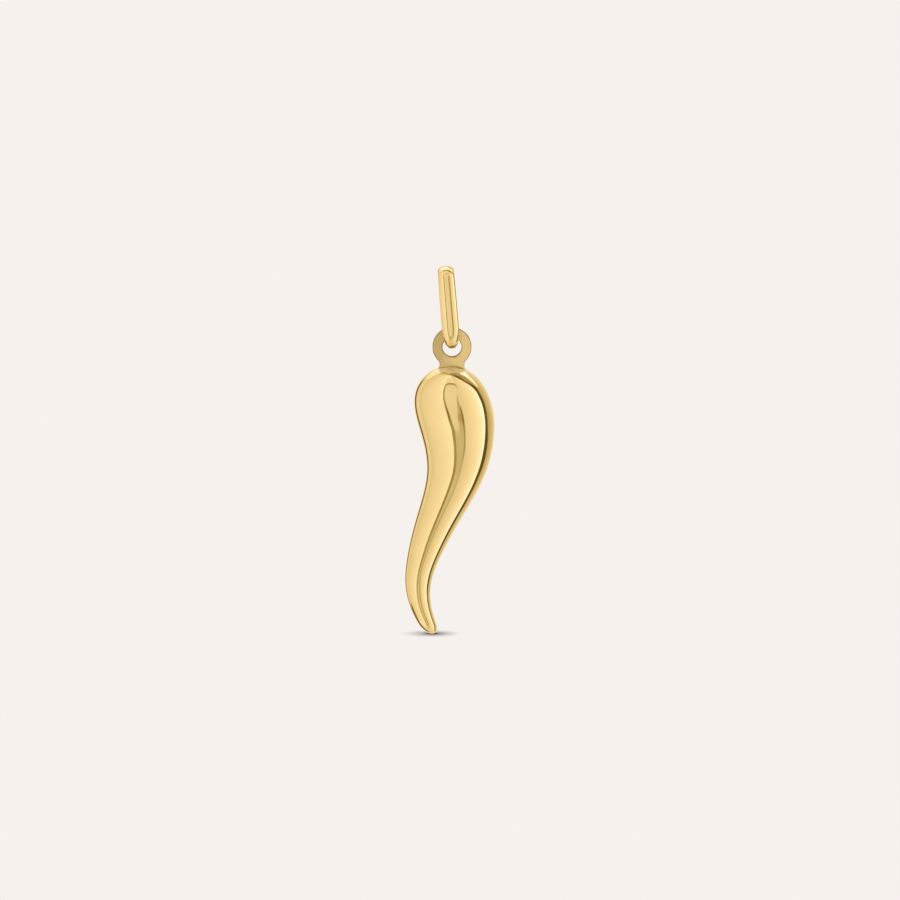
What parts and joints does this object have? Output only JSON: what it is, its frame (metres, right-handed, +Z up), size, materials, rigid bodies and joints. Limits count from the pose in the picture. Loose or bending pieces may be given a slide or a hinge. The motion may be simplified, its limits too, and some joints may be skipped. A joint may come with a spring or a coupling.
{
  "type": "cornicello horn pendant",
  "caption": "Polished gold horn charm that tapers in a soft double curve to a blunt tip, hung by a flat eyelet on a long bail of domed strip.",
  "frame": {"origin": "middle of the bail's inner face at its top, where a chain carries the pendant", "axes": "+Z up along the hanging pendant, -Y out of the front face, +X to the right seen from the front"},
  "size_m": [0.0068, 0.004, 0.0281],
  "materials": {
    "polished_gold": "polished"
  },
  "bodies": {
    "bail": {"bail": "polished_gold"},
    "horn": {"horn": "polished_gold"}
  },
  "joints": [
    {"name": "horn_swing", "type": "hinge", "parent": "bail", "child": "horn", "pos_m": [0.00046, 0, -0.00566], "axis": [0, 1, 0], "range_deg": [-115, 115]}
  ]
}
